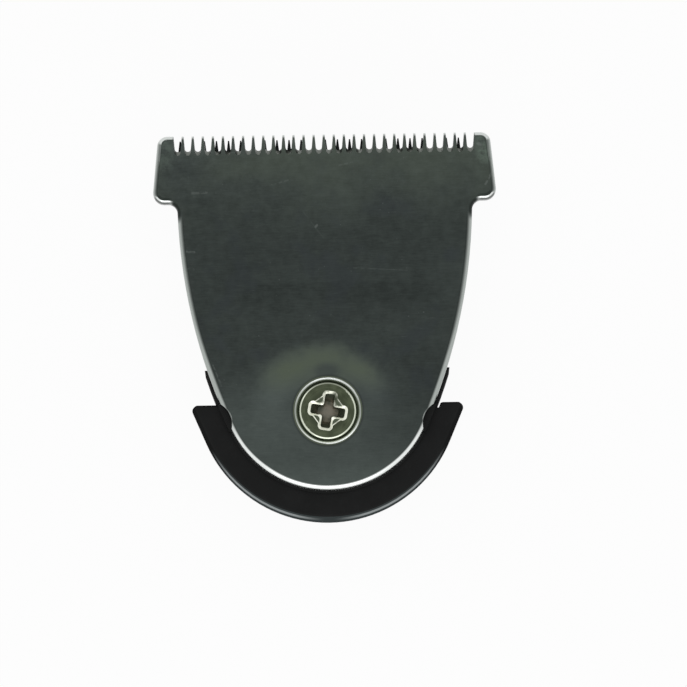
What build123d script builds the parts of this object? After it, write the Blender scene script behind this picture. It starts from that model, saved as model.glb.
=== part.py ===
from build123d import *
import os
from math import acos, asin, atan2, degrees, hypot, radians, sqrt, tan

# A clip-on trimmer blade head, lying on its back with the outer face up.
# X runs along the cutting edge, Y from the screw to the teeth, Z out of the outer face.
# While the pieces are built, Y is 0 on the screw's axis and Z is 0 on the back rim of the base.

# Fixed blade, seen from the front
TOOTH_LINE_WIDTH = 30.9      # across the T head at its tooth tips
HEAD_FLARE = 0.625           # how far each side of the head leans out, down to its lower corner
ARM_REACH = 2.335            # each arm of the head, from the neck to the corner before it is rounded
TIP_Y = 25.97                # tooth tips, from the screw's axis
HEAD_DEPTH = 6.4             # tooth tips to the underside of the head's arms
HEAD_TOP_CORNER = 0.95
HEAD_LOW_CORNER = 1.05
NECK_FILLET = 0.85
SIDE_RADIUS = 52.7           # bow of the two long sides
TAIL_RADIUS = 9.89           # round end below the screw
TAIL_CENTRE_Y = 2.5

# Fixed blade, in section
BLADE_THICKNESS = 1.2
EDGE_ROUND = 0.55            # bright rounded edge of the outer face
TIP_THICKNESS = 0.6
BEVEL_LENGTH = 3.0           # flat bevel that thins the head towards the tips
BEVEL_BLEND = 6.0            # radius between the outer face and the bevel

# Fixed comb
CORNER_TOOTH = 1.3           # least width of the two broad end teeth
FIXED_PITCH = 0.94
FIXED_GAP_DEPTH = 1.42
FIXED_TIP_LAND = 0.18        # width of a tooth at its tip
FIXED_ROOT_LAND = 0.38       # width of a tooth where the gap's round end begins
GAP_LEAN = 26.0              # slope of the gap's end, degrees from upright

# Moving comb
MOVING_PITCH = 1.128
MOVING_GAP_DEPTH = 2.1
MOVING_TIP_LAND = 0.12
MOVING_ROOT_LAND = 0.6
TIP_SETBACK = 0.44           # moving tips behind the fixed tips
REST_OFFSET = -0.42          # where the cutter stands at rest, off the middle of its stroke
STROKE = 2.0                 # whole travel of the cutter
CUTTER_MARGIN = 0.85         # least distance from the cutter's end to the head's side, at full stroke

# Moving blade
CUTTER_THICKNESS = 0.7
CUTTER_TIP_THICKNESS = 0.32
CUTTER_BEVEL = 2.6
CUTTER_BAR_DEPTH = 5.4
CUTTER_TAIL_INSET = 0.6      # cutter's tail inside the follower's wings, each side
CUTTER_LENGTH = 11.7
CUTTER_FILLET = 1.2
SLIDE_GAP = 0.02             # oil film between the two blades

# Base, seen from the front
TAB_PROUD = 0.2              # base wall that shows beside the blade's edge
TAB_TOP_Y = 4.0
FLANGE_RADIUS = 12.05        # crescent's outer edge, at its face
FLANGE_CENTRE_Y = 2.3
HORN_WIDTH = 24.9            # across the two horn tips of the crescent
HORN_Y = 0.78
HORN_CORNER = 0.2
HORN_SLIT_WIDTH = 0.28       # relief between the right horn and the wall
HORN_SLIT_DEPTH = 0.5
HORN_SLIT_CORNER = 0.3
NIB_RADIUS = 2.2             # round of a nib that locates the blade
NIB_BITE = 0.42              # how far a nib reaches into the blade's edge
NIB_LEFT_Y = -0.44           # where each nib bites deepest into the edge
NIB_RIGHT_Y = -0.66
NIB_GAP = 0.04
NOTCH_EDGE = 0.08            # broken edge of the blade's notch for a nib

# Base, in section
SEAT_Z = 6.8                 # the face that carries the fixed blade
SEAT_THICKNESS = 1.5
WALL = 1.3
FLANGE_DROP = 0.2            # crescent's face below the seat
FLANGE_THICKNESS = 3.4
FLANGE_DRAFT = 5.0           # degrees
FLANGE_CHAMFER = 0.16
NIB_HEIGHT = 0.45            # above the seat
ARM_SPAN = 20.8              # across the two side arms
ARM_END_Y = 15.6
ARM_END_ROUND = 0.5
RIM_CHAMFER = 0.2            # outer edge of the back rim
SEAT_FRONT_Y = 9.4

# Base, fittings on its back
BOSS_RADIUS = 2.7
BOSS_FLOOR = 0.8             # plastic left under the screw's tip
RIB_THICKNESS = 0.9
RIB_Z = 1.8
RIB_ANGLE = 52.0             # ribs from the boss to the tail wall, degrees each side of straight back
RAIL_Y = 10.3
RAIL_DEPTH = 1.2
RAIL_Z = 0.8
RAIL_HEIGHT = 1.4
TONGUE_WIDTH = 6.4
TONGUE_REACH = 1.5
TONGUE_Z = 0.5
TONGUE_HEIGHT = 1.3
TONGUE_LIP = 0.6
DETENT_RADIUS = 0.45
DETENT_LENGTH = 3.6
DETENT_Y = 11.5
DETENT_Z = 1.5

# Spring
WIRE = 0.7
COIL_RADIUS = 1.55           # to the middle of the wire
COIL_TURNS = 2               # whole turns, beside the part turn that joins the two legs
COIL_PITCH = 0.76
BRIDGE_GAP = 0.4             # between the spring's bridge and the screw boss
COIL_Z = 2.75
LEG_ROOM = 0.2               # leg's middle from the follower's side at full stroke
LEG_SLOPE = 17.0             # degrees
LEG_BEND = 1.2
SPRING_TIP_INSET = 0.5       # leg's end behind the wing's front edge
BRIDGE_BEND = 0.8
PIN_CLEARANCE = 0.12
PIN_OVERHANG = 0.1           # free end of a spring pin past its coil
SPRING_GAP = 0.03

# Cam follower
SLOT_WIDTH = 4.4             # takes the drive pin
SLOT_LENGTH = 5.8
SLOT_CORNER = 0.5
YOKE_WIDTH = 8.2
YOKE_WALL = 1.2              # before and behind the slot
YOKE_Z = 0.9
YOKE_CORNER = 0.8
YOKE_CHAMFER = 0.3           # lead-in round the slot's mouth and the yoke's foot
WING_CLEARANCE = 0.5         # between a wing and an arm at the end of the stroke
WING_DEPTH = 4.4
WING_THICKNESS = 1.5
GUIDE_WIDTH = 6.0
GUIDE_LIP = 0.9
GUIDE_HEIGHT = 1.8           # bridge of the guide over the rail
GUIDE_GAP = 0.1
PEG_RADIUS = 0.9
PEG_EDGE = 0.9               # cutter left between a peg's hole and the tail's side
PEG_SINK = 0.08              # staked peg below the cutter's sliding face

# Screw
SCREW_HEAD_RADIUS = 2.7
SCREW_HEAD_LAND = 0.28       # straight edge of the head
SCREW_HEAD_ROUND = 0.26
SCREW_SINK = 0.04            # head below the blade's face
SCREW_RADIUS = 1.4
SCREW_LENGTH = 6.2
SCREW_POINT = 0.5
SCREW_GAP = 0.04
HOLE_ROUND = 0.14
CROSS_RADIUS = 1.6           # inside its broken edge
CROSS_WIDTH = 0.9
CROSS_CORNER = 0.2
CROSS_RIM_CORNER = 0.42      # on the outside of its broken edge
CROSS_FOOT_RADIUS = 0.95
CROSS_FOOT_WIDTH = 0.72
CROSS_DEPTH = 1.1
CROSS_EDGE = 0.25            # broken edge round the recess, across
CROSS_EDGE_DEPTH = 0.22
CROSS_TURN = -10.0           # degrees, as the screw was left
CROSS_FLAT = 2.84            # shallow square between the wings, across
CROSS_FLAT_CORNER = 0.6
CROSS_FLAT_EDGE = 0.1
CROSS_FLAT_DEPTH = 0.08

# Worked out from the sizes above
HEAD_WIDTH = TOOTH_LINE_WIDTH + 2 * HEAD_FLARE
NECK_WIDTH = HEAD_WIDTH - 2 * ARM_REACH
FIXED_GAPS = int((TOOTH_LINE_WIDTH - 2 * CORNER_TOOTH) / FIXED_PITCH)
MOVING_TEETH = int((TOOTH_LINE_WIDTH - STROKE - 2 * CUTTER_MARGIN) / MOVING_PITCH)
ARM_Y = TIP_Y - HEAD_DEPTH
BLADE_TOP_Z = SEAT_Z + BLADE_THICKNESS
ROOF_Z = SEAT_Z - SEAT_THICKNESS
FLANGE_TOP_Z = SEAT_Z - FLANGE_DROP
TAIL_Y = FLANGE_CENTRE_Y - FLANGE_RADIUS - FLANGE_THICKNESS * tan(radians(FLANGE_DRAFT))
CUTTER_TOP_Z = SEAT_Z - SLIDE_GAP
CUTTER_Z = CUTTER_TOP_Z - CUTTER_THICKNESS
CUTTER_TIP_Y = TIP_Y - TIP_SETBACK
CUTTER_TAIL_Y = CUTTER_TIP_Y - CUTTER_LENGTH
RAIL_FRONT_Y = RAIL_Y + RAIL_DEPTH
YOKE_Y = RAIL_FRONT_Y + GUIDE_GAP
YOKE_FRONT_Y = YOKE_Y + 2 * YOKE_WALL + SLOT_LENGTH
SLOT_Y = YOKE_Y + YOKE_WALL + SLOT_LENGTH / 2
WING_Z = CUTTER_Z - WING_THICKNESS
ARM_INNER = ARM_SPAN / 2 - WALL
WING_WIDTH = 2 * (ARM_INNER - STROKE / 2 - WING_CLEARANCE)
CUTTER_TAIL_WIDTH = WING_WIDTH - 2 * CUTTER_TAIL_INSET
CUTTER_BAR_WIDTH = MOVING_TEETH * MOVING_PITCH
PEG_SPACING = CUTTER_TAIL_WIDTH - 2 * (PEG_EDGE + PEG_RADIUS)
SCREW_TOP_Z = BLADE_TOP_Z - SCREW_SINK
BOSS_Z = SCREW_TOP_Z - SCREW_LENGTH - SCREW_GAP - BOSS_FLOOR
COIL_Y = BOSS_RADIUS + BRIDGE_GAP + WIRE / 2 + COIL_RADIUS
COIL_TURN = COIL_TURNS * 360 + 90 + LEG_SLOPE
COIL_LENGTH = COIL_PITCH * COIL_TURN / 360
LEG_X = YOKE_WIDTH / 2 + STROKE / 2 + LEG_ROOM
PIN_END_X = LEG_X - COIL_LENGTH - WIRE / 2 - PIN_OVERHANG
SPRING_TIP_Y = SLOT_Y + WING_DEPTH / 2 - SPRING_TIP_INSET
BEYOND = 2.0                 # how far cutting tools run past a face
NEAR = 1e-3                  # slack when edges and corners are picked by place
UPWARD = 0.5                 # least upright part of the normal of a face that counts as upper

# The frame's origin is under the middle of the whole length, on the back rim's plane.
IN_FRAME = Location((0, -(TIP_Y + TAIL_Y) / 2, 0))


def side_centre():
    """Centre of the left bow that runs from the neck into the tail's round end."""
    neck = (NECK_WIDTH / 2, ARM_Y)
    to_tail = hypot(neck[0], neck[1] - TAIL_CENTRE_Y)
    near = SIDE_RADIUS - TAIL_RADIUS
    along = (SIDE_RADIUS**2 - near**2 + to_tail**2) / (2 * to_tail)
    aside = sqrt(SIDE_RADIUS**2 - along**2)
    ux, uy = -neck[0] / to_tail, (TAIL_CENTRE_Y - neck[1]) / to_tail
    return neck[0] + along * ux + aside * uy, neck[1] + along * uy - aside * ux


SIDE_CENTRE = side_centre()
TANGENT_ANGLE = degrees(atan2(TAIL_CENTRE_Y - SIDE_CENTRE[1], -SIDE_CENTRE[0]))


def half_width(y, grown=0.0):
    """Half the width of the blade's long sides at y, with its outline grown by an offset."""
    return SIDE_CENTRE[0] + sqrt((SIDE_RADIUS + grown) ** 2 - (y - SIDE_CENTRE[1]) ** 2)


def lower_half(top_y, grown=0.0):
    """Right half of the blade's outline, from the tail's lowest point up the side to top_y."""
    end_angle = degrees(asin((top_y - SIDE_CENTRE[1]) / (SIDE_RADIUS + grown)))
    tail = CenterArc((0, TAIL_CENTRE_Y), TAIL_RADIUS + grown, -90, 90 + TANGENT_ANGLE)
    side = CenterArc(SIDE_CENTRE, SIDE_RADIUS + grown, TANGENT_ANGLE, end_angle - TANGENT_ANGLE)
    return tail + side


def closed(half):
    """Face between a right half outline and its mirror image."""
    return make_face(half + mirror(half, about=Plane.YZ))


def lower_outline(top_y, grown=0.0):
    """Face inside the blade's outline below top_y."""
    return closed(lower_half(top_y, grown) + Polyline((half_width(top_y, grown), top_y), (0, top_y)))


def corners(face, x, y):
    """The two vertices of a face at plus and minus x."""
    return [v for v in face.vertices() if abs(abs(v.X) - x) < NEAR and abs(v.Y - y) < NEAR]


def slab(x_size, y_from, y_to, z_from, z_to, x_mid=0.0):
    """Box between two Y and two Z values, centred on x_mid."""
    middle = Location((x_mid, (y_from + y_to) / 2, (z_from + z_to) / 2))
    return middle * Box(x_size, y_to - y_from, z_to - z_from)


def tooth_gap(open_width, end_width, depth):
    """Gap between two teeth with its tip line on Y 0: tapered sides and a round end."""
    end = end_width / 2
    flare = (open_width / 2 - end) / (depth - end)
    mouth = open_width / 2 + flare * BEYOND
    sides = Polyline((-end, end - depth), (-mouth, BEYOND), (mouth, BEYOND), (end, end - depth))
    return make_face(sides + ThreePointArc((end, end - depth), (0, -depth), (-end, end - depth)))


def comb_cutter(count, pitch, gap, tip_y, z_from, z_to, lean):
    """Row of gaps as one cutting tool, with their ends leaning back towards the outer face."""
    height = z_to - z_from
    back = height * tan(radians(lean))
    row = [(i - (count - 1) / 2) * pitch for i in range(count)]
    reach = hypot(height, back)
    return [extrude(Location((x, tip_y, z_from)) * gap, reach, dir=(0, -back, height)) for x in row]


def screw_hole():
    """Countersunk hole through blade and seat, the screw's form grown by its clearance."""
    cone_top = SCREW_HEAD_RADIUS + SCREW_GAP + SCREW_SINK + SCREW_HEAD_LAND
    depth = cone_top - SCREW_RADIUS - SCREW_GAP
    cone = Cone(SCREW_RADIUS + SCREW_GAP, cone_top, depth, align=(Align.CENTER, Align.CENTER, Align.MAX))
    shank = Cylinder(SCREW_RADIUS + SCREW_GAP, SCREW_LENGTH + SCREW_SINK + SCREW_GAP,
                     align=(Align.CENTER, Align.CENTER, Align.MAX))
    return Location((0, 0, BLADE_TOP_Z)) * (cone + shank)


def nib_places():
    """Where the two locating nibs stand, square to the blade's edge."""
    centre_x, centre_y = SIDE_CENTRE
    reach = (SIDE_RADIUS + NIB_RADIUS - NIB_BITE) / SIDE_RADIUS
    places = []
    for side, y in ((-1, NIB_LEFT_Y), (1, NIB_RIGHT_Y)):
        x = centre_x + reach * (half_width(y) - centre_x)
        places.append(Location((side * x, centre_y + reach * (y - centre_y), 0)))
    return places


def fixed_blade():
    head = Polyline((NECK_WIDTH / 2, ARM_Y), (HEAD_WIDTH / 2, ARM_Y),
                    (TOOTH_LINE_WIDTH / 2, TIP_Y), (0, TIP_Y))
    outline = closed(lower_half(ARM_Y) + head)
    outline = fillet(corners(outline, NECK_WIDTH / 2, ARM_Y), NECK_FILLET)
    outline = fillet(corners(outline, HEAD_WIDTH / 2, ARM_Y), HEAD_LOW_CORNER)
    outline = fillet(corners(outline, TOOTH_LINE_WIDTH / 2, TIP_Y), HEAD_TOP_CORNER)
    plate = extrude(Location((0, 0, SEAT_Z)) * outline, BLADE_THICKNESS + BEYOND)

    thick_y = TIP_Y - BEVEL_LENGTH
    fall = (BLADE_THICKNESS - TIP_THICKNESS) / BEVEL_LENGTH
    front = ((TIP_Y + BEYOND, SEAT_Z - BEYOND), (TIP_Y + BEYOND, SEAT_Z + TIP_THICKNESS - fall * BEYOND))
    section = make_face(Polyline((TAIL_Y, SEAT_Z - BEYOND), *front, (thick_y, BLADE_TOP_Z),
                                 (TAIL_Y, BLADE_TOP_Z), close=True))
    section = fillet(corners(section, thick_y, BLADE_TOP_Z), BEVEL_BLEND)
    plate = plate & extrude(Plane.YZ * section, HEAD_WIDTH, both=True)
    upper = [edge for face in plate.faces() if face.normal_at().Z > UPWARD for edge in face.edges()]
    plate = fillet([e for e in upper if sum(e.is_same(other) for other in upper) == 1], EDGE_ROUND)

    gap = tooth_gap(FIXED_PITCH - FIXED_TIP_LAND, FIXED_PITCH - FIXED_ROOT_LAND, FIXED_GAP_DEPTH)
    plate -= comb_cutter(FIXED_GAPS, FIXED_PITCH, gap, TIP_Y, SEAT_Z, BLADE_TOP_Z, GAP_LEAN)

    plate -= screw_hole()
    rim = plate.edges().filter_by(GeomType.CIRCLE)
    rim = rim.filter_by_position(Axis.Z, BLADE_TOP_Z - NEAR, BLADE_TOP_Z + NEAR)
    plate = fillet([e for e in rim if abs(e.arc_center.Y) < NEAR], HOLE_ROUND)
    notch = Cylinder(NIB_RADIUS + NIB_GAP, 2 * BLADE_TOP_Z)
    notch += Location((0, 0, BLADE_TOP_Z)) * Cone(NIB_RADIUS + NIB_GAP, NIB_RADIUS + NIB_GAP + 2 * NOTCH_EDGE,
                                                  2 * NOTCH_EDGE)
    return plate - [place * notch for place in nib_places()]


def moving_blade():
    bar_y = CUTTER_TIP_Y - CUTTER_BAR_DEPTH
    bends = ((CUTTER_TAIL_WIDTH / 2, CUTTER_TAIL_Y), (CUTTER_TAIL_WIDTH / 2, bar_y),
             (CUTTER_BAR_WIDTH / 2, bar_y))
    tip_corner = (CUTTER_BAR_WIDTH / 2, CUTTER_TIP_Y)
    outline = closed(Polyline((0, CUTTER_TAIL_Y), *bends, tip_corner, (0, CUTTER_TIP_Y)))
    for x, y in bends:
        outline = fillet(corners(outline, x, y), CUTTER_FILLET)
    plate = extrude(Location((0, 0, CUTTER_Z)) * outline, CUTTER_THICKNESS)

    thick_y = CUTTER_TIP_Y - CUTTER_BEVEL
    under_tip = CUTTER_TOP_Z - CUTTER_TIP_THICKNESS
    ground_off = make_face(Polyline((thick_y, CUTTER_Z), (CUTTER_TIP_Y, under_tip),
                                    (CUTTER_TIP_Y, CUTTER_Z), close=True))
    plate -= extrude(Plane.YZ * ground_off, HEAD_WIDTH, both=True)

    gap = tooth_gap(MOVING_PITCH - MOVING_TIP_LAND, MOVING_PITCH - MOVING_ROOT_LAND, MOVING_GAP_DEPTH)
    plate -= comb_cutter(MOVING_TEETH + 1, MOVING_PITCH, gap, CUTTER_TIP_Y, CUTTER_Z, CUTTER_TOP_Z, 0.0)
    hole = Cylinder(PEG_RADIUS, 2 * BLADE_TOP_Z)
    return plate - [Location((x, SLOT_Y, 0)) * hole for x in (-PEG_SPACING / 2, PEG_SPACING / 2)]


def crescent():
    """Flange round the tail, with a straight flare out to its two horns."""
    horn = (HORN_WIDTH / 2, HORN_Y)
    out = hypot(horn[0], horn[1] - FLANGE_CENTRE_Y)
    horn_angle = degrees(atan2(horn[1] - FLANGE_CENTRE_Y, horn[0]))
    touch = horn_angle - degrees(acos(FLANGE_RADIUS / out))
    arc = CenterArc((0, FLANGE_CENTRE_Y), FLANGE_RADIUS, -90, 90 + touch)
    outline = closed(arc + Polyline(arc @ 1, horn, (0, HORN_Y)))
    outline = fillet(corners(outline, *horn), HORN_CORNER)
    flange = extrude(Location((0, 0, FLANGE_TOP_Z)) * outline, -FLANGE_THICKNESS, taper=-FLANGE_DRAFT)
    flange = chamfer(flange.faces().sort_by(Axis.Z)[-1].edges(), FLANGE_CHAMFER)
    wall = lower_outline(TAB_TOP_Y, TAB_PROUD)
    slit = extrude(lower_outline(TAB_TOP_Y, TAB_PROUD + HORN_SLIT_WIDTH) - wall, BLADE_TOP_Z)
    right = slab(HORN_WIDTH, HORN_Y - HORN_SLIT_DEPTH, HORN_Y + BEYOND, 0, BLADE_TOP_Z, HORN_WIDTH / 2)
    round_y = HORN_Y - HORN_SLIT_CORNER
    mouth = half_width(round_y, TAB_PROUD + HORN_SLIT_WIDTH)
    corner = slab(HORN_SLIT_CORNER, round_y, HORN_Y + BEYOND, 0, BLADE_TOP_Z, mouth + HORN_SLIT_CORNER / 2)
    corner -= Location((mouth + HORN_SLIT_CORNER, round_y)) * Cylinder(HORN_SLIT_CORNER, 2 * BLADE_TOP_Z)
    return flange - (slit & right) - corner


def back_fittings():
    """Screw boss with its ribs, spring pins, guide rail, hinge tongue and snap detents."""
    boss = Location((0, 0, BOSS_Z)) * Cylinder(BOSS_RADIUS, ROOF_Z - BOSS_Z + SEAT_THICKNESS / 2,
                                              align=(Align.CENTER, Align.CENTER, Align.MIN))
    tail_wall = TAIL_RADIUS + TAB_PROUD - WALL / 2 - TAIL_CENTRE_Y
    rib = slab(RIB_THICKNESS, -tail_wall, 0, RIB_Z, ROOF_Z + SEAT_THICKNESS / 2)
    ribs = [Rot(0, 0, side * RIB_ANGLE) * rib for side in (-1, 1)]

    pin_length = ARM_INNER + WALL / 2 - PIN_END_X
    pin_radius = COIL_RADIUS - WIRE / 2 - PIN_CLEARANCE
    pins = [Location((side * (PIN_END_X + pin_length / 2), COIL_Y, COIL_Z)) * Rot(0, 90, 0)
            * Cylinder(pin_radius, pin_length) for side in (-1, 1)]
    rail = slab(2 * ARM_INNER + WALL, RAIL_Y, RAIL_FRONT_Y, RAIL_Z, RAIL_Z + RAIL_HEIGHT)

    wall_y = TAIL_CENTRE_Y - TAIL_RADIUS - TAB_PROUD
    tongue = slab(TONGUE_WIDTH, wall_y - TONGUE_REACH, wall_y + WALL / 2, TONGUE_Z, TONGUE_Z + TONGUE_HEIGHT)
    lip = slab(TONGUE_WIDTH, wall_y - TONGUE_REACH, wall_y - TONGUE_REACH + TONGUE_LIP,
               TONGUE_Z, TONGUE_Z + TONGUE_HEIGHT + TONGUE_LIP)
    detents = [Location((side * ARM_SPAN / 2, DETENT_Y, DETENT_Z)) * Rot(90, 0, 0)
               * Cylinder(DETENT_RADIUS, DETENT_LENGTH) for side in (-1, 1)]
    return [boss, *ribs, *pins, rail, tongue + lip, *detents]


def blade_base():
    arms = slab(ARM_SPAN, TAB_TOP_Y - WALL, ARM_END_Y, 0, SEAT_Z)
    body = extrude(lower_outline(TAB_TOP_Y, TAB_PROUD), SEAT_Z) + arms
    uprights = body.edges().filter_by(Axis.Z)
    body = fillet(uprights.filter_by_position(Axis.Y, ARM_END_Y - NEAR, ARM_END_Y + NEAR), ARM_END_ROUND)
    body = chamfer(body.faces().sort_by(Axis.Z)[0].edges(), RIM_CHAMFER)

    inner = lower_outline(TAB_TOP_Y, TAB_PROUD - WALL)
    between_arms = slab(2 * ARM_INNER, 0, ARM_END_Y + BEYOND, -BEYOND, ROOF_Z)
    hollow = extrude(Location((0, 0, -BEYOND)) * inner, ROOF_Z + BEYOND) & slab(
        2 * HEAD_WIDTH, TAIL_Y, TAB_TOP_Y - WALL, -BEYOND, SEAT_Z)
    hollow += between_arms
    front = slab(2 * ARM_INNER, SEAT_FRONT_Y, ARM_END_Y + BEYOND, -BEYOND, SEAT_Z + BEYOND)

    body = (body + crescent()) - hollow - front
    body += back_fittings()
    nib_z = FLANGE_TOP_Z - FLANGE_THICKNESS / 2
    nib_band = lower_outline(HORN_Y, TAB_PROUD)
    nib_band = extrude(Location((0, 0, nib_z)) * nib_band, SEAT_Z + NIB_HEIGHT - nib_z)
    for place in nib_places():
        body += nib_band & (place * Cylinder(NIB_RADIUS, 2 * BLADE_TOP_Z))
    return body - screw_hole()


def cam_follower():
    block = Rectangle(YOKE_WIDTH, YOKE_FRONT_Y - YOKE_Y)
    block = fillet(block.vertices(), YOKE_CORNER)
    yoke = extrude(Location((0, SLOT_Y, YOKE_Z)) * block, CUTTER_Z - YOKE_Z)
    slot = fillet(Rectangle(SLOT_WIDTH, SLOT_LENGTH).vertices(), SLOT_CORNER)
    slot = extrude(Location((0, SLOT_Y, 0)) * slot, CUTTER_Z)
    yoke = chamfer((yoke - slot).faces().sort_by(Axis.Z)[0].edges(), YOKE_CHAMFER)
    wings = fillet(Rectangle(WING_WIDTH, WING_DEPTH).vertices(), YOKE_CORNER)
    yoke += extrude(Location((0, SLOT_Y, WING_Z)) * wings, WING_THICKNESS)

    rail_top = RAIL_Z + RAIL_HEIGHT + GUIDE_GAP
    lip_y = RAIL_Y - GUIDE_GAP - GUIDE_LIP
    yoke += slab(GUIDE_WIDTH, lip_y, YOKE_Y + YOKE_WALL / 2, rail_top, rail_top + GUIDE_HEIGHT)
    yoke += slab(GUIDE_WIDTH, lip_y, lip_y + GUIDE_LIP, YOKE_Z, rail_top + GUIDE_HEIGHT)

    yoke -= slot
    peg = Location((0, 0, WING_Z)) * Cylinder(PEG_RADIUS, CUTTER_TOP_Z - PEG_SINK - WING_Z,
                                             align=(Align.CENTER, Align.CENTER, Align.MIN))
    return yoke + [Location((x, SLOT_Y, 0)) * peg for x in (-PEG_SPACING / 2, PEG_SPACING / 2)]


def tension_spring():
    """Right half of the wire, from under the wing to the middle of the bridge, and its mirror image."""
    coil = Helix(COIL_PITCH, COIL_LENGTH, COIL_RADIUS)
    # The helix climbs along X from the bridge out to the leg, and its first point faces the tail.
    coil = Location((LEG_X - COIL_LENGTH, COIL_Y, COIL_Z)) * Plane(
        origin=(0, 0, 0), x_dir=(0, -1, 0), z_dir=(1, 0, 0)).location * coil
    leg_start = coil @ 1
    leg_dir = coil % 1
    wing_z = WING_Z - SPRING_GAP - WIRE / 2
    rise = (wing_z - leg_start.Z) / leg_dir.Z
    knee = leg_start + leg_dir * rise
    tip = Vector(knee.X, SPRING_TIP_Y, knee.Z)
    leg = FilletPolyline(leg_start, knee, tip, radius=LEG_BEND)
    bridge_start = coil @ 0
    up_dir = coil % 0
    bridge_z = ROOF_Z - SPRING_GAP - WIRE / 2
    shoulder = bridge_start - up_dir * ((bridge_z - bridge_start.Z) / -up_dir.Z)
    bridge = FilletPolyline(bridge_start, shoulder, Vector(0, shoulder.Y, shoulder.Z), radius=BRIDGE_BEND)
    pieces = []
    for path in (leg, coil, bridge):
        section = Plane(origin=path @ 0, z_dir=path % 0) * Circle(WIRE / 2)
        pieces.append(sweep(section, path=path))
    half = pieces[0] + pieces[1] + pieces[2]
    return half + mirror(half, about=Plane.YZ)


def recess(top, foot, depth_from, depth_to):
    """Tapered recess between two outlines, at two depths below the head's face."""
    turned = Location((0, 0, SCREW_TOP_Z)) * Rot(0, 0, CROSS_TURN)
    return loft([turned * Location((0, 0, -depth_from)) * top, turned * Location((0, 0, -depth_to)) * foot],
                ruled=True)


def base_screw():
    top = SCREW_TOP_Z
    cone = SCREW_HEAD_RADIUS - SCREW_RADIUS
    land_z = top - SCREW_HEAD_LAND
    end_z = top - SCREW_LENGTH
    head = ((0, top), (SCREW_HEAD_RADIUS, top), (SCREW_HEAD_RADIUS, land_z), (SCREW_RADIUS, land_z - cone))
    shank = ((SCREW_RADIUS, end_z + SCREW_POINT), (SCREW_RADIUS - SCREW_POINT, end_z), (0, end_z))
    section = make_face(Polyline(*head, *shank, close=True))
    section = fillet(corners(section, SCREW_HEAD_RADIUS, top), SCREW_HEAD_ROUND)
    screw = revolve(Plane.XZ * section, Axis.Z)

    def cross(radius, width, corner):
        shape = Rectangle(2 * radius, width) + Rectangle(width, 2 * radius)
        return fillet(shape.vertices(), corner)

    def flat(across):
        return Rot(0, 0, 45) * fillet(Rectangle(across, across).vertices(), CROSS_FLAT_CORNER)

    inside = cross(CROSS_RADIUS, CROSS_WIDTH, CROSS_CORNER)
    rim = cross(CROSS_RADIUS + CROSS_EDGE, CROSS_WIDTH + 2 * CROSS_EDGE, CROSS_RIM_CORNER)
    foot = cross(CROSS_FOOT_RADIUS, CROSS_FOOT_WIDTH, CROSS_CORNER)
    screw -= recess(rim, inside, 0, CROSS_EDGE_DEPTH)
    screw -= recess(inside, foot, CROSS_EDGE_DEPTH, CROSS_DEPTH)
    return screw - recess(flat(CROSS_FLAT), flat(CROSS_FLAT - 2 * CROSS_FLAT_EDGE), 0, CROSS_FLAT_DEPTH)


# The cutter and its follower stand off the middle of the stroke at rest.
AT_REST = Location((REST_OFFSET, 0, 0))

NODES = {
    "fixed_blade": fixed_blade(),
    "moving_blade": AT_REST * moving_blade(),
    "blade_base": blade_base(),
    "cam_follower": AT_REST * cam_follower(),
    "tension_spring": tension_spring(),
    "base_screw": base_screw(),
}

os.makedirs("parts", exist_ok=True)
for name, solid in NODES.items():
    export_step(IN_FRAME * solid, f"parts/{name}.step")
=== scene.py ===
from math import radians

import bpy
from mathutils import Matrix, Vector


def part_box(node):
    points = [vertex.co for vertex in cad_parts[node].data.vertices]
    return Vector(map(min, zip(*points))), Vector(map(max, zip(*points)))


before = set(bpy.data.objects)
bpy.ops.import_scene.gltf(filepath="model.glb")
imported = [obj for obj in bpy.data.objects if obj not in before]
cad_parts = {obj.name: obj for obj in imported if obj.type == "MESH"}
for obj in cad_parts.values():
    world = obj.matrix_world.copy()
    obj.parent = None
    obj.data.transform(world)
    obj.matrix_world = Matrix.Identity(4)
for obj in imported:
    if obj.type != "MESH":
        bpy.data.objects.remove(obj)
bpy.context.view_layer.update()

MM = 0.001

SCREW_AXIS = (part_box("base_screw")[0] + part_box("base_screw")[1]) / 2
BLADE_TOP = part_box("fixed_blade")[1].z
SCREW_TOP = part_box("base_screw")[1].z

# Sizes of the blade and its base in mm, and places on them from the screw's axis, with X along the teeth
# and Y towards them
TIP_LINE = (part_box("fixed_blade")[1].y - SCREW_AXIS.y) / MM
HEAD_LENGTH = 6.4
ARM_LINE = TIP_LINE - HEAD_LENGTH
NECK_REACH = 14.1
COMB_REACH = 14.1
SIDE_CENTRE = (-38.956, 20.253)
SIDE_RADIUS = 52.70
TAIL_CENTRE = 2.50
TAIL_RADIUS = 9.89
TAIL_TANGENT = -1.60
TANGENT_BLEND = 0.02
EDGE_ROUND = 0.55
FLANGE_CENTRE = 2.30
FLANGE_RADIUS = 12.05

# Zones below are in mm, in X and Y from the screw's axis and in Z from the ground: two numbers run from
# none to full, and four make a band that sets in, is full, fades and ends.

# Tones of the blade's face: painted reflections, as lighter and darker zones
TEETH_PALE = (15.0, 25.0)
GAP_ENDS_PALE = (23.8, 25.2)
TAIL_PALE = (-4.5, -7.0)
LOWER_PALE = (4.5, -1.5)
LOWER_RIGHT_X = (0.5, 6.5)
LOWER_RIGHT_Y = (-5.5, -1.0)
FLANK_X = (4.0, 9.0)
FLANK_Y = (3.5, 7.0, 12.0, 17.0)
BELT_X = (-9.0, -4.0, 8.0, 12.0)
BELT_Y = (8.6, 11.0, 11.75, 12.15)
CORNER_X = (13.9, 14.6)
CORNER_Y = (TIP_LINE - 4.2, TIP_LINE - 1.6)
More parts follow.
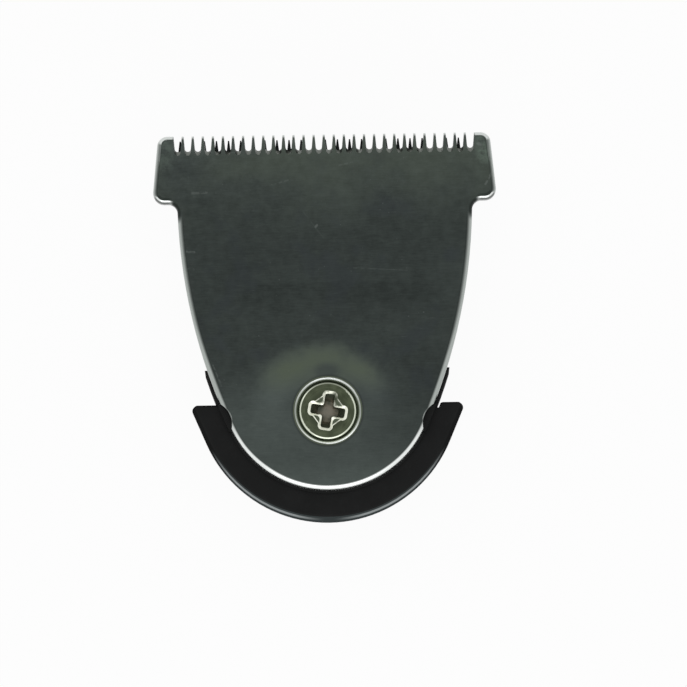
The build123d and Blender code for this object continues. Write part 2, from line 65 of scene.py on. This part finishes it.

# The painted reflection round the screw: a wide glow, a blotched olive halo in it and a bluish spot above
# the screw
REFLECTION_CENTRE = (-0.56, 0.0)
GLOW_SQUASH = (1, 1.25, 1)
GLOW_REACH = (10.0, 5.5)
GLOW_Y = (0.0, 3.5)
HALO_SQUASH = (1, 1.06, 1)
HALO_REACH = (7.35, 4.6)
HALO_Y = (-2.5, 2.0)
HALO_INSIDE = (5.2, 3.4)
HALO_OLIVE_Y = (1.0, 4.0)
SPOT_CENTRE = (0.0, 3.7)
SPOT_SQUASH = (1, 1.5, 1)
SPOT_REACH = (1.7, 0.5)

# The blade's edges, its comb and the countersink round the screw
HEAD_START_Y = (ARM_LINE - 1.4, ARM_LINE - 1.2)
HEAD_EDGE_Y = (ARM_LINE - 0.6, ARM_LINE - 0.2)
TAIL_EDGE_Y = (0.0, -3.0)
HUGGED_EDGE_Y = (9.0, 3.0)
NIB_EDGE_Y = (-5.5, -3.0, -1.0, 1.0)
COMB_X = (COMB_REACH + 0.05, COMB_REACH - 0.05)
COMB_Y = (ARM_LINE + 1.0, ARM_LINE + 2.0)
TIP_Y = (TIP_LINE - 0.7, TIP_LINE - 0.5)
GAP_END_Y = (TIP_LINE - 0.9, TIP_LINE - 1.1)
NECK_X = (NECK_REACH + 0.5, NECK_REACH - 0.1)
NECK_Y = (ARM_LINE - 2.0, ARM_LINE - 1.0, ARM_LINE + 1.0, ARM_LINE + 1.5)
COUNTERSINK_REACH = (3.25, 3.2)
LIP_REACH = (2.90, 2.95)
SURROUND_REACH = (3.05, 3.12, 3.2, 3.5)

# The base's crescent and the painted highlight line on its wall at the tail
FLANGE_RIM = (FLANGE_RADIUS - 0.7, FLANGE_RADIUS - 0.3)
FLANGE_Y = (1.6, 1.1)
TAIL_WALL_Y = (-3.0, -6.5)
TAIL_HIGHLIGHT_X = (0.3, 3.5)
TAIL_HIGHLIGHT_Z = (4.2, 4.6, 5.3, 5.7)

# The screw's head: reaches from its axis, and depths below its top
HEAD_SHADE_REACH = (2.25, 1.6)
HEAD_RIM_REACH = (2.38, 2.42)
RECESS_REACH = (2.1, 2.0)
RECESS_MIDDLE = (0.75, 0.35)
FLATS_DEPTH = (0.05, 0.07)
LIPS_DEPTH = (0.25, 0.20)
RECESS_DEPTH = (0.22, 0.27)
RECESS_BROWN_DEPTH = (0.5, 1.05)
RECESS_PALE_DEPTH = (0.8, 1.0)

# Scratches on the blade's face: their two ends, their reach to each side and their strength
FACE_SCRATCHES = (
    ((-12.4, 20.5), (-11.0, 20.55), 0.17, 0.20),
    ((-1.05, 17.0), (-0.75, 17.35), 0.15, 0.30),
    ((-12.9, 15.05), (-12.2, 15.0), 0.14, 0.24),
    ((-12.9, 13.4), (-12.3, 13.35), 0.14, 0.20),
    ((15.7, 22.2), (15.0, 21.0), 0.16, 0.30),
    ((14.3, 25.0), (14.7, 24.5), 0.26, 0.34),
    ((-4.9, 21.2), (-3.4, 21.6), 0.12, 0.14),
    ((1.2, 22.9), (2.6, 23.2), 0.12, 0.14),
    ((2.6, 13.3), (7.6, 13.0), 0.07, 0.10),
    ((-10.6, 4.4), (-9.9, 2.6), 0.10, 0.20),
    ((-2.0, 18.6), (-0.2, 16.2), 0.08, 0.05),
)
SCRATCH_CORE = 0.35  # share of the reach that is at full strength

# Shifts that keep two noises of one kind from lying alike
DRIFT_SHIFT = (31.0, 7.0, 0)
BLOTCH_SHIFT = (5.0, 11.0, 0)

# Which way a surface faces, as parts of its normal, given as the zones are
FLAT_TO_ROUND = (0.99, 0.95)
UPRIGHT_WALL = (-0.5, -0.3, 0.3, 0.5)
TOWARDS_TAIL = (-0.2, -0.5)
BEVEL_FACING = (-0.995, -0.97, -0.9, -0.6)
FLATS_FACING = (0.9, 0.97)
RIM_FACING = (0.992, 0.95)
LIPS_FACING = (0.95, 0.88)
LEAST_SLOPE = 0.0001  # so that nothing is divided by 0 on a flat face

# Which way a rounded edge faces as seen from above, as the share of its lean that is towards the teeth
UNDER_FACING = (-0.25, -0.6)
CROWN_FACING = (0.3, 0.65)
TIP_FACING = (0.3, 0.6)
GAP_END_FACING = (0.2, 0.5)

# Finishes, as linear colours
# Blade: its dark face, the tones on it and its bright edges are painted reflections, its shaded colours
# painted shade
STEEL_DARK = (0.0270, 0.0322, 0.0302, 1)
STEEL_PALE = (0.0850, 0.1025, 0.0950, 1)
STEEL_OLIVE = (0.0800, 0.0980, 0.0690, 1)
STEEL_BLUE = (0.0340, 0.0400, 0.0440, 1)
STEEL_BARE_SHEEN = (0.38, 0.41, 0.39, 1)
STEEL_HIGHLIGHT = (0.80, 0.83, 0.81, 1)
STEEL_GROUND = (0.110, 0.125, 0.105, 1)
STEEL_CORNER_REFLECTION = (0.115, 0.150, 0.122, 1)
STEEL_SHADED = (0.018, 0.022, 0.020, 1)
STEEL_SCRATCH = (0.17, 0.19, 0.18, 1)
STEEL_SHADE_RING = (0.012, 0.013, 0.013, 1)
CUTTER_BLACK = (0.012, 0.013, 0.013, 1)
CUTTER_WORN = (0.10, 0.105, 0.10, 1)
PLASTIC_BLACK = (0.0150, 0.0154, 0.0154, 1)
PLASTIC_SCUFFED = (0.0190, 0.0195, 0.0195, 1)
# The base's lighter tail wall is painted light and the line on it a painted highlight
PLASTIC_LIT_WALL = (0.058, 0.070, 0.071, 1)
PLASTIC_HIGHLIGHT = (0.40, 0.43, 0.43, 1)
FOLLOWER_PALE = (0.62, 0.60, 0.54, 1)
FOLLOWER_SHADE = (0.52, 0.50, 0.44, 1)
WIRE_BRIGHT = (0.50, 0.50, 0.49, 1)
WIRE_DULL = (0.30, 0.30, 0.29, 1)
SCREW_PLATED = (0.086, 0.102, 0.063, 1)
SCREW_SHADED = (0.050, 0.060, 0.037, 1)
# Painted highlights on the screw's rim and on the lips of its recess
SCREW_RIM_HIGHLIGHT = (0.66, 0.70, 0.58, 1)
SCREW_LIP_HIGHLIGHT = (0.84, 0.86, 0.74, 1)
SCREW_SEAT = (0.095, 0.112, 0.078, 1)
SCREW_RECESS_PALE = (0.27, 0.25, 0.20, 1)
SCREW_RECESS = (0.165, 0.145, 0.100, 1)

# Depths of relief, radii of softened edges and the follower's scatter
STEEL_RELIEF = 0.02 * MM
WIRE_RELIEF = 0.01 * MM
PLASTIC_RELIEF = 0.03 * MM
BASE_EDGE = 0.09 * MM
FOLLOWER_EDGE = 0.08 * MM
EDGE_SAMPLES = 6
FOLLOWER_SCATTER = (0.8 * MM, 0.7 * MM, 0.5 * MM)

# The camera looks down on the blade's face, a little from the tail. Angles are in degrees.
VIEW_TURN = -0.85
VIEW_TILT = 6.0
VIEW_WIDTH = 63.85 * MM
VIEW_CENTRE = (SCREW_AXIS.x + 1.555 * MM, SCREW_AXIS.y + 6.24 * MM)
CAMERA_DISTANCE = 0.90
CLIP_START = 0.01
SENSOR_MM = 36.0

# The studio: a white floor and room, and soft lamps with their place and size in metres and their power
WHITE = (1, 1, 1, 1)
ROOM_LIGHT = 0.6
FLOOR_REACH = 3.0
FLOOR_LEVEL = -0.05 * MM
FLOOR_COLOUR = (0.86, 0.86, 0.86, 1)
FLOOR_WHITENESS = 0.95
SEEN_RAYS = ("Is Camera Ray", "Is Glossy Ray", "Is Transmission Ray")
SOFTBOXES = (
    ("tail_softbox", (0.0, -0.42, 0.24), (0.5, 0.3), 0.55),
    ("tooth_softbox", (-0.30, 0.40, 0.36), (0.4, 0.3), 0.22),
)


class Value:
    """A socket of a material's node tree, with the operators that its sums need."""

    def __init__(self, tree, socket=None):
        self.tree = tree
        self.socket = socket

    def node(self, kind, settings=None, inputs=None, output=0):
        made = self.tree.nodes.new(kind)
        for name, setting in (settings or {}).items():
            setattr(made, name, setting)
        for name, value in (inputs or {}).items():
            if isinstance(value, Value):
                self.tree.links.new(value.socket, made.inputs[name])
            else:
                made.inputs[name].default_value = value
        return Value(self.tree, made.outputs[output])

    def math(self, operation, first, second=0.0):
        return self.node("ShaderNodeMath", {"operation": operation}, {0: first, 1: second})

    def __add__(self, other):
        return self.math("ADD", self, other)

    def __radd__(self, other):
        return self.math("ADD", other, self)

    def __sub__(self, other):
        return self.math("SUBTRACT", self, other)

    def __rsub__(self, other):
        return self.math("SUBTRACT", other, self)

    def __mul__(self, other):
        return self.math("MULTIPLY", self, other)

    def __rmul__(self, other):
        return self.math("MULTIPLY", other, self)

    def __truediv__(self, other):
        return self.math("DIVIDE", self, other)

    def root(self):
        return self.math("SQRT", self)

    def size(self):
        return self.math("ABSOLUTE", self)

    def least(self, other):
        return self.math("MINIMUM", self, other)

    def most(self, other):
        return self.math("MAXIMUM", self, other)

    def clamped(self):
        return self.most(0.0).least(1.0)

    def rise(self, low, high):
        """0 below low, 1 above high, smooth between; falls where high is the lesser."""
        return self.node("ShaderNodeMapRange", {"interpolation_type": "SMOOTHSTEP"},
                         {"Value": self, "From Min": low, "From Max": high})

    def band(self, start, full, fade, end):
        """0 up to start, 1 from full to fade and 0 from end on, smooth between."""
        return self.rise(start, full) * self.rise(end, fade)

    def between(self, low, high):
        """Scales a value from 0 to 1 onto low to high."""
        return self.node("ShaderNodeMapRange", None, {"Value": self, "To Min": low, "To Max": high})

    def mix(self, colour_a, colour_b):
        """Colour a where this value is 0, colour b where it is 1. Its colour sockets go by number."""
        return self.node("ShaderNodeMix", {"data_type": "RGBA"}, {0: self, 6: colour_a, 7: colour_b}, 2)

    def part(self, axis):
        return self.node("ShaderNodeSeparateXYZ", None, {0: self}, axis)

    def shifted(self, by):
        return self.node("ShaderNodeVectorMath", {"operation": "ADD"}, {0: self, 1: by})

    def about(self, centre):
        """The place as measured from a centre in X and Y."""
        return self.shifted((-centre[0], -centre[1], 0))

    def stretched(self, by):
        return self.node("ShaderNodeVectorMath", {"operation": "MULTIPLY"}, {0: self, 1: by})

    def flattened(self):
        """The place in X and Y alone."""
        return self.stretched((1, 1, 0))

    def length(self):
        return self.node("ShaderNodeVectorMath", {"operation": "LENGTH"}, {0: self}, "Value")

    def noise(self, scale, detail=2.0, roughness=0.5):
        return self.node("ShaderNodeTexNoise", None,
                         {"Vector": self, "Scale": scale, "Detail": detail, "Roughness": roughness})

    def stroke(self, start, end, reach):
        """1 on a straight scratch between two places on the face, 0 off it."""
        along = Vector(end) - Vector(start)
        from_start = self.about(start)
        share = from_start.node("ShaderNodeVectorMath", {"operation": "DOT_PRODUCT"},
                                {0: from_start, 1: (along.x, along.y, 0)}, "Value") / along.length_squared
        share = share.clamped()
        nearest = share.node("ShaderNodeCombineXYZ", None, {0: share * along.x, 1: share * along.y})
        gap = from_start.node("ShaderNodeVectorMath", {"operation": "SUBTRACT"}, {0: from_start, 1: nearest})
        return gap.length().rise(reach, SCRATCH_CORE * reach)


def finish(name):
    """A new material, its shader and the place on the object in mm, as the zones measure it."""
    made = bpy.data.materials.new(name)
    made.use_nodes = True
    shader = made.node_tree.nodes["Principled BSDF"]
    metres = Value(made.node_tree).node("ShaderNodeTexCoord", None, None, "Object")
    return made, shader, metres.about(SCREW_AXIS).stretched((1 / MM, 1 / MM, 1 / MM))


def facing(place):
    """The surface's normal, in the object's own frame."""
    return place.node("ShaderNodeTexCoord", None, None, "Normal")


def feed(shader, name, value):
    shader.id_data.links.new(value.socket, shader.inputs[name])


def bump(shader, height, strength, distance, edge=0.0):
    """Relief from a height, over edges softened by a small radius."""
    inputs = {"Height": height, "Strength": strength, "Distance": distance}
    if edge:
        inputs["Normal"] = height.node("ShaderNodeBevel", {"samples": EDGE_SAMPLES}, {"Radius": edge})
    feed(shader, "Normal", height.node("ShaderNodeBump", None, inputs))


def outline_gap(x, y):
    """Distance in from the blade's outline below its head, in mm."""
    across = x.size() - SIDE_CENTRE[0]
    up = y - SIDE_CENTRE[1]
    from_side = SIDE_RADIUS - (across * across + up * up).root()
    low = y - TAIL_CENTRE
    from_tail = TAIL_RADIUS - (x * x + low * low).root()
    above = y.rise(TAIL_TANGENT - TANGENT_BLEND, TAIL_TANGENT + TANGENT_BLEND)
    return from_tail + (from_side - from_tail) * above


def edge_wear_and_light(x, y, normal):
    """How bare the blade's rounded edges are, with their painted highlight and painted shade, and its ground
    gap ends, each 0 to 1.
    """
    nz = normal.part(2)
    slope = (1.0 - nz * nz).most(LEAST_SLOPE).root()
    up = normal.part(1) / slope
    across = x.size()

    # How far over a rounded edge leans: from the outline on the long sides, and from the normal on the head
    lean = (1.0 - outline_gap(x, y) / EDGE_ROUND).clamped()
    above_sides = y.rise(*HEAD_START_Y)
    notch = (slope - lean).rise(0.35, 0.6) * (1.0 - above_sides)
    lean = lean + (slope - lean) * above_sides

    # How far over the edge its bare band begins and is full, partly set to follow the light: sooner where
    # walls hug it, later at the nibs
    head = y.rise(*HEAD_EDGE_Y)
    under = up.rise(*UNDER_FACING)
    crown = up.rise(*CROWN_FACING)
    tail = y.rise(*TAIL_EDGE_Y)
    hugged = y.rise(*HUGGED_EDGE_Y)
    nibs = y.band(*NIB_EDGE_Y)
    begin = 0.10 - 0.07 * hugged + 0.08 * tail + 0.10 * nibs + head * (0.20 + 0.10 * under)
    full = 0.80 - 0.30 * hugged - 0.06 * tail + 0.09 * nibs + head * (0.18 - 0.44 * under - 0.46 * crown)
    bare_and_sheen = lean.rise(begin, full)
    # Painted highlight on the edges: full at the tail, and on the head most under its arms and along its top
    highlight = tail.most(head * (0.15 + 0.75 * under + 0.42 * crown))

    # Painted shade: a dark line before the bare edge, and one on each side of it under the head's arms
    shade = lean.rise(begin * 0.7, begin * 0.9) * (1.0 - bare_and_sheen) * (0.45 + 0.4 * head * under)
    shade = shade.most(head * under * lean.rise(0.64, 0.84) * 0.85)
    shade = shade.most(head * under * lean.rise(0.03, 0.12) * (1.0 - bare_and_sheen) * 0.55)

    # The comb: only its tips are bare, with painted sheen, and the ends of its gaps are ground. The neck
    # gets painted shade.
    comb = across.rise(*COMB_X) * y.rise(*COMB_Y)
    tip = comb * y.rise(*TIP_Y) * up.rise(*TIP_FACING)
    ground = comb * y.rise(*GAP_END_Y) * up.rise(*GAP_END_FACING) * lean.rise(0.4, 0.6)
    neck = across.rise(*NECK_X) * y.band(*NECK_Y)
    kept = 1.0 - neck.most(comb)
    bare_and_sheen = (bare_and_sheen * kept).most(notch * 0.8) + tip * lean.rise(0.28, 0.9)
    return bare_and_sheen, highlight, (shade * kept).most(neck * lean.rise(0.3, 0.7) * 0.85), ground


def face_colour(place, drift, mottle, grain):
    """Colour of the blade's face: painted reflections make it pale at teeth and tail, olive round the screw,
    light at its corners.
    """
    x, y = place.part(0), place.part(1)
    on_face = place.flattened()
    cloud = place.noise(0.16, 3.0)
    near_teeth = y.rise(*TEETH_PALE)
    belt = x.band(*BELT_X) * y.band(*BELT_Y)
    flank = x.rise(*FLANK_X) * y.band(*FLANK_Y)
    lower = (y + (drift - 0.5) * 2.0).rise(*LOWER_PALE)
    lower_right = x.rise(*LOWER_RIGHT_X) * y.rise(*LOWER_RIGHT_Y)

    # Painted reflection round the screw, measured from its centre
    stain_and_reflection = on_face.about(REFLECTION_CENTRE)
    glow = stain_and_reflection.stretched(GLOW_SQUASH).length().rise(*GLOW_REACH) * y.rise(*GLOW_Y)
    blotch = place.shifted(BLOTCH_SHIFT).noise(0.5, 4.0, 0.6)
    spot = on_face.about(SPOT_CENTRE).stretched(SPOT_SQUASH).length().rise(*SPOT_REACH)
    halo = stain_and_reflection.stretched(HALO_SQUASH).length() + (blotch - 0.5) * 1.6
    halo = halo.rise(*HALO_REACH) * y.rise(*HALO_Y) * blotch.between(1.3, 0.7)
    halo = halo * (1.0 - 0.5 * on_face.length().rise(*HALO_INSIDE)) * (1.0 - 0.5 * spot)

    # Painted reflections: lighter and darker zones across the face, over random cloud, mottle and grain
    tone = 0.155 + 0.25 * near_teeth + 0.20 * y.rise(*GAP_ENDS_PALE) + 0.18 * y.rise(*TAIL_PALE)
    tone = tone + 0.07 * flank - 0.08 * belt + lower * (0.42 - 0.30 * lower_right)
    tone = tone + 0.22 * glow + halo * (0.56 - 0.34 * lower)
    tone = tone + (cloud - 0.5) * 0.35 + (mottle - 0.5) * (0.5 + 0.4 * near_teeth) + (grain - 0.5) * 0.33
    face = tone.clamped().mix(STEEL_DARK, STEEL_PALE)
    face = (drift.rise(0.52, 0.68) * (0.4 - 0.35 * lower.most(halo))).mix(face, STEEL_BLUE)
    olive = 0.85 * halo * y.rise(*HALO_OLIVE_Y) + 0.3 * near_teeth * cloud.rise(0.3, 0.6)
    face = (spot * 0.3).mix(olive.mix(face, STEEL_OLIVE), STEEL_BLUE)

    # Painted reflection at the head's corners, stronger on the right one than on the left one
    corner = x.size().rise(*CORNER_X) * y.rise(*CORNER_Y) * x.rise(-1.0, 1.0).between(0.35, 0.8)
    return (corner * mottle.rise(0.35, 0.65)).mix(face, STEEL_CORNER_REFLECTION)


def face_marks(place, drift):
    """Hairlines, rubbed specks and scratches on the blade's face, 0 to 1."""
    hair = place.stretched((0.35, 6.0, 1.0)).noise(1.6, 2.0).rise(0.70, 0.80) * drift.rise(0.45, 0.6)
    specks = place.noise(3.6, 1.0).rise(0.72, 0.80) * place.noise(0.5, 1.0).rise(0.52, 0.64)
    marks = specks.most(hair) * 0.2
    on_face = place.flattened()
    broken = place.noise(2.6, 2.0).rise(0.40, 0.54)
    for start, end, reach, strength in FACE_SCRATCHES:
        marks = marks.most(on_face.stroke(start, end, reach) * broken * strength)
    return marks


def blade_steel():
    """Dark satin face with bare rounded edges, as ground, used and wiped; the face's darkness and the
    brightness of its edges are painted reflections of a dark overhead and a bright room.
    """
    made, shader, place = finish("blade_steel")
    normal = facing(place)
    x, y = place.part(0), place.part(1)
    drift = place.shifted(DRIFT_SHIFT).noise(0.3, 3.0)
    mottle = place.noise(1.0, 5.0, 0.68)
    grain = place.stretched((0.5, 4.0, 1.0)).noise(2.2, 4.0, 0.6)
    marks = face_marks(place, drift)
    face = marks.mix(face_colour(place, drift, mottle, grain), STEEL_SCRATCH)
    bare_and_sheen, highlight, shade, ground = edge_wear_and_light(x, y, normal)
    face = ground.mix(face, STEEL_GROUND)

    # The countersink round the screw, with a painted highlight on its lip and a ring of painted shade round
    # it
    radius = place.flattened().length()
    countersink = radius.rise(*COUNTERSINK_REACH)
    upright = (y / radius).size()
    lip_highlight = radius.rise(*LIP_REACH) * normal.part(2).rise(*FLAT_TO_ROUND)
    lip_highlight = lip_highlight * upright.rise(0.1, 0.75).between(0.5, 1.0)
    shade_ring = radius.band(*SURROUND_REACH) * 0.45
    face = (countersink * 0.85).mix(shade_ring.mix(face, STEEL_SHADE_RING), SCREW_SEAT)
    bare_and_sheen = bare_and_sheen * (1.0 - countersink) + countersink * lip_highlight

    # Bare edges painted bright as reflections of the room, brighter still where highlighted
    edge = bare_and_sheen.mix(face, highlight.most(countersink * 0.6).mix(STEEL_BARE_SHEEN, STEEL_HIGHLIGHT))
    feed(shader, "Base Color", (shade * (1.0 - countersink)).mix(edge, STEEL_SHADED))
    feed(shader, "Roughness", (0.42 + (mottle - 0.5) * 0.2 - marks * 0.1).most(0.2) - bare_and_sheen * 0.16)
    shader.inputs["Metallic"].default_value = 1.0
    bump(shader, grain * 0.6 + mottle * 0.4 - marks * 0.5, 0.12, STEEL_RELIEF)
    return made


def cutter_steel():
    """Blackened cutter, bare on its ground bevel and a little rubbed in patches; its black is partly painted
    shade under the fixed blade.
    """
    made, shader, place = finish("cutter_steel")
    grind = place.stretched((6.0, 0.5, 1.0)).noise(2.0, 3.0)
    bevel = facing(place).part(2).band(*BEVEL_FACING)
    paled = bevel * 0.8 + place.noise(1.6, 3.0).rise(0.6, 0.8) * 0.12
    feed(shader, "Base Color", (paled * grind.between(0.7, 1.0)).mix(CUTTER_BLACK, CUTTER_WORN))
    feed(shader, "Roughness", grind.between(0.34, 0.52))
    shader.inputs["Metallic"].default_value = 1.0
    bump(shader, grind, 0.15, STEEL_RELIEF)
    return made


def base_plastic():
    """Black moulding with a fine eroded texture, smoother where it has rubbed, with painted light on its
    wall at the tail and a painted highlight line along it.
    """
    made, shader, place = finish("base_plastic")
    normal = facing(place)
    x, y, z = place.part(0), place.part(1), place.part(2)
    spark = place.noise(9.0, 3.0, 0.6)
    flow = place.noise(0.35, 3.0)
    rubbed = place.noise(1.4, 3.0).rise(0.55, 0.75)
    low = y - FLANGE_CENTRE
    flange = (x * x + low * low).root().rise(*FLANGE_RIM) * y.rise(*FLANGE_Y)
    flange_wall = flange * normal.part(2).band(*UPRIGHT_WALL)
    tail_wall = flange_wall * normal.part(1).rise(*TOWARDS_TAIL) * y.rise(*TAIL_WALL_Y)
    tail_highlight = tail_wall * z.band(*TAIL_HIGHLIGHT_Z) * x.size().rise(*TAIL_HIGHLIGHT_X)
    black = (flow.rise(0.35, 0.7) * 0.6 + rubbed * 0.3).mix(PLASTIC_BLACK, PLASTIC_SCUFFED)
    # Painted light: the base's wall at the tail is greyer, as lit from the tail
    lit_wall_colour = (tail_wall * 0.8).mix(black, PLASTIC_LIT_WALL)
    # Painted highlight: a light line along the wall at the tail
    feed(shader, "Base Color", (tail_highlight * spark.between(0.7, 1.0)).mix(lit_wall_colour, PLASTIC_HIGHLIGHT))
    feed(shader, "Roughness", spark.between(0.46, 0.62) - rubbed * 0.08)
    shader.inputs["Specular IOR Level"].default_value = 0.0
    feed(shader, "Coat Weight", 0.06 - 0.06 * flange_wall)
    shader.inputs["Coat Roughness"].default_value = 0.45
    bump(shader, spark, 0.25, PLASTIC_RELIEF, BASE_EDGE)
    return made


def follower_plastic():
    """Pale slippery moulding, a little oiled."""
    made, shader, place = finish("follower_plastic")
    flow = place.noise(0.4, 3.0)
    oiled = place.noise(0.9, 3.0).rise(0.5, 0.7)
    feed(shader, "Base Color", (flow.rise(0.3, 0.7) * 0.7 + oiled * 0.2).mix(FOLLOWER_PALE, FOLLOWER_SHADE))
    feed(shader, "Roughness", 0.46 - oiled * 0.14)
    shader.inputs["Subsurface Weight"].default_value = 0.12
    shader.inputs["Subsurface Radius"].default_value = FOLLOWER_SCATTER
    shader.inputs["Specular IOR Level"].default_value = 0.35
    bump(shader, place.noise(7.0, 3.0), 0.12, PLASTIC_RELIEF, FOLLOWER_EDGE)
    return made


def spring_wire():
    """Drawn spring wire with die lines along its legs."""
    made, shader, place = finish("spring_wire")
    drawn = place.stretched((4.0, 0.6, 4.0)).noise(3.0, 3.0)
    feed(shader, "Base Color", drawn.rise(0.3, 0.7).mix(WIRE_BRIGHT, WIRE_DULL))
    feed(shader, "Roughness", drawn.between(0.24, 0.40))
    shader.inputs["Metallic"].default_value = 1.0
    bump(shader, drawn, 0.15, WIRE_RELIEF)
    return made


def screw_steel():
    """Olive plated screw with painted highlights on its edges, painted shade towards and in its recess, and
    brown in its recess.
    """
    made, shader, place = finish("screw_steel")
    nz = facing(place).part(2)
    radius = place.flattened().length()
    depth = SCREW_TOP / MM - place.part(2)
    turned = radius.node("ShaderNodeCombineXYZ", None, {0: radius}).noise(9.0, 2.0)
    stain_and_reflection = place.noise(1.3, 3.0)
    in_recess = radius.rise(*RECESS_REACH)

    # The plated head, darker in random patches and with painted shade towards its recess, with the stamped
    # flats beside the recess
    shade = (0.6 * stain_and_reflection + 0.4 * turned).rise(0.35, 0.65).most(radius.rise(*HEAD_SHADE_REACH))
    flats = in_recess * depth.rise(*FLATS_DEPTH) * nz.rise(*FLATS_FACING)
    plated = (flats * stain_and_reflection.between(0.3, 1.0)).mix(shade.mix(SCREW_PLATED, SCREW_SHADED), SCREW_SEAT)

    # The recess: painted shade near its top, browner as it gets deeper, and paler in its middle
    below = in_recess * depth.rise(*RECESS_DEPTH)
    brown = depth.rise(*RECESS_BROWN_DEPTH) * stain_and_reflection.rise(0.35, 0.6)
    paled = radius.rise(*RECESS_MIDDLE) * depth.rise(*RECESS_PALE_DEPTH) * 0.6
    recess = paled.mix(brown.mix(SCREW_SHADED, SCREW_RECESS), SCREW_RECESS_PALE)

    # Painted highlights: the bright rim, weakest at its top, and the bright lips of the recess
    upward = place.part(1) / radius
    rim = nz.rise(*RIM_FACING) * radius.rise(*HEAD_RIM_REACH) * upward.rise(1.0, 0.4).between(0.35, 1.0)
    lips = in_recess * depth.rise(*LIPS_DEPTH) * nz.rise(*LIPS_FACING)
    lips = lips * place.noise(0.8, 2.0).rise(0.25, 0.5)
    colour = rim.mix(below.mix(plated, recess), SCREW_RIM_HIGHLIGHT)
    feed(shader, "Base Color", lips.mix(colour, SCREW_LIP_HIGHLIGHT))
    feed(shader, "Roughness", 0.36 + (stain_and_reflection - 0.5) * 0.2 - rim.most(lips) * 0.12)
    feed(shader, "Metallic", 1.0 - below * 0.75)
    bump(shader, turned * 0.6 + stain_and_reflection * 0.4, 0.15, STEEL_RELIEF)
    return made


def dress_nodes():
    finishes = {
        "fixed_blade": blade_steel(),
        "moving_blade": cutter_steel(),
        "blade_base": base_plastic(),
        "cam_follower": follower_plastic(),
        "tension_spring": spring_wire(),
        "base_screw": screw_steel(),
    }
    for node, material in finishes.items():
        for material_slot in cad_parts[node].material_slots:
            material_slot.material = material


def seen(tree):
    """1 for what the camera sees, in reflections and through glass too, and 0 for light on the object."""
    rays = [Value(tree).node("ShaderNodeLightPath", None, None, kind) for kind in SEEN_RAYS]
    return rays[0].most(rays[1]).most(rays[2])


def white_room():
    """World that is white where it is seen, and softer as light."""
    world = bpy.data.worlds.new("white_room")
    world.use_nodes = True
    bpy.context.scene.world = world
    tree = world.node_tree
    background = tree.nodes["Background"]
    background.inputs["Color"].default_value = WHITE
    tree.links.new(seen(tree).between(ROOM_LIGHT, 1.0).socket, background.inputs["Strength"])


def floor_white():
    """White where it is seen, with a trace of the object's shadow."""
    made = bpy.data.materials.new("floor_white")
    made.use_nodes = True
    tree = made.node_tree
    shader = tree.nodes["Principled BSDF"]
    shader.inputs["Base Color"].default_value = FLOOR_COLOUR
    shader.inputs["Roughness"].default_value = 0.9
    shader.inputs["Specular IOR Level"].default_value = 0.0
    lit = Value(tree, shader.outputs["BSDF"])
    white = lit.node("ShaderNodeEmission", None, {"Color": WHITE, "Strength": 1.0})
    both = lit.node("ShaderNodeMixShader", None, {0: seen(tree) * FLOOR_WHITENESS, 1: lit, 2: white})
    tree.links.new(both.socket, tree.nodes["Material Output"].inputs["Surface"])
    return made


def floor():
    mesh = bpy.data.meshes.new("floor")
    near, far = -FLOOR_REACH, FLOOR_REACH
    ends = ((near, near), (far, near), (far, far), (near, far))
    mesh.from_pydata([(*end, FLOOR_LEVEL) for end in ends], [], [(0, 1, 2, 3)])
    mesh.materials.append(floor_white())
    sheet = bpy.data.objects.new("floor", mesh)
    bpy.context.scene.collection.objects.link(sheet)


def lamp(name, place, size, power):
    """A soft lamp that looks at the object."""
    light = bpy.data.lights.new(name, "AREA")
    light.shape = "RECTANGLE"
    light.size, light.size_y = size
    light.energy = power
    holder = bpy.data.objects.new(name, light)
    holder.location = place
    holder.rotation_euler = (-Vector(place)).to_track_quat("-Z", "Y").to_euler()
    bpy.context.scene.collection.objects.link(holder)


def studio():
    white_room()
    floor()
    for softbox in SOFTBOXES:
        lamp(*softbox)


def camera():
    lens = bpy.data.cameras.new("camera")
    lens.sensor_width = SENSOR_MM
    lens.lens = SENSOR_MM * CAMERA_DISTANCE / VIEW_WIDTH
    lens.clip_start = CLIP_START
    holder = bpy.data.objects.new("camera", lens)
    holder.rotation_euler = (radians(VIEW_TILT), 0, radians(VIEW_TURN))
    back = holder.rotation_euler.to_matrix() @ Vector((0, 0, CAMERA_DISTANCE))
    holder.location = Vector((*VIEW_CENTRE, BLADE_TOP)) + back
    bpy.context.scene.collection.objects.link(holder)
    bpy.context.scene.camera = holder


bpy.context.scene.view_settings.view_transform = "Standard"
camera()
studio()
dress_nodes()
